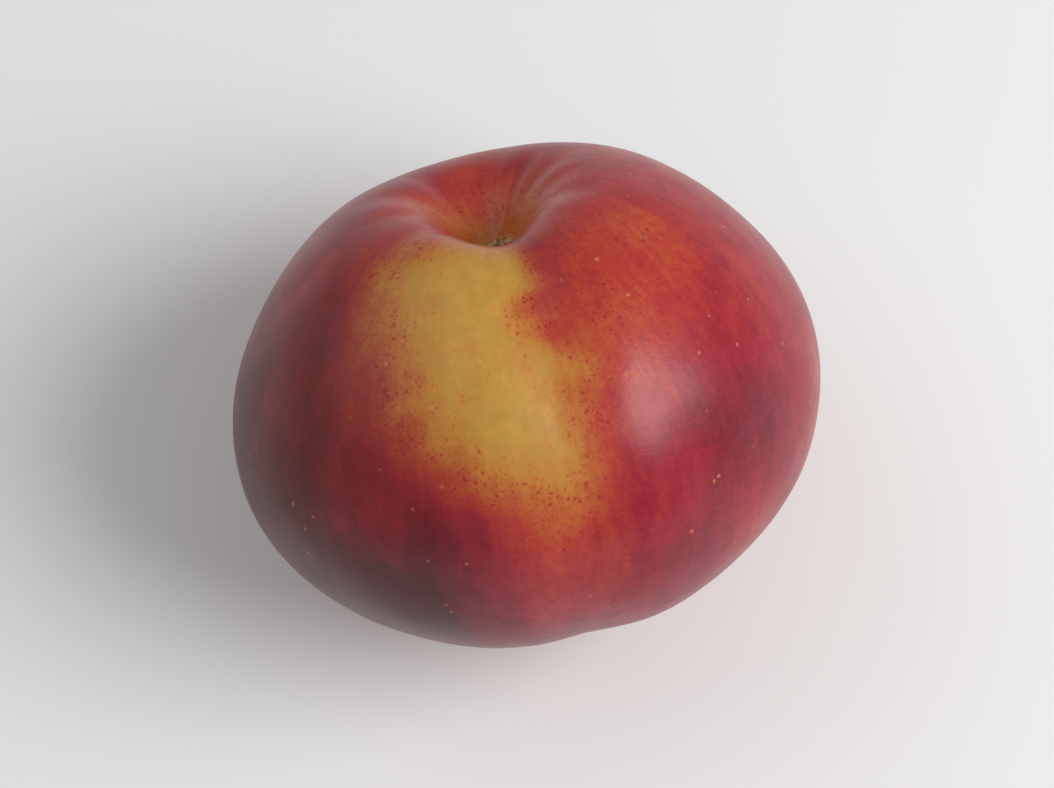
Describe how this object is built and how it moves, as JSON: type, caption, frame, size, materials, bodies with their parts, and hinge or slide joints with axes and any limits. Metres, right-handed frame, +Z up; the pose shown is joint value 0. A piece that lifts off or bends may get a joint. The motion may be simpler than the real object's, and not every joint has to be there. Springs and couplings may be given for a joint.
{
  "type": "nectarine",
  "caption": "Whole ripe stone fruit with smooth skin, a stem hollow, a shallow seam down one side and a small flat spot it rests on.",
  "frame": {"origin": "on the surface the fruit rests on, under the middle of its box", "axes": "+Z up from the flat spot; -Y towards the seam side, which faces the viewer; +X across the cheeks, the widest way; the stem hollow points up and back, 47 degrees from +Z"},
  "size_m": [0.0604, 0.0536, 0.052],
  "materials": {
    "skin": "satin"
  },
  "bodies": {
    "root": {"nectarine": "skin"}
  },
  "joints": []
}
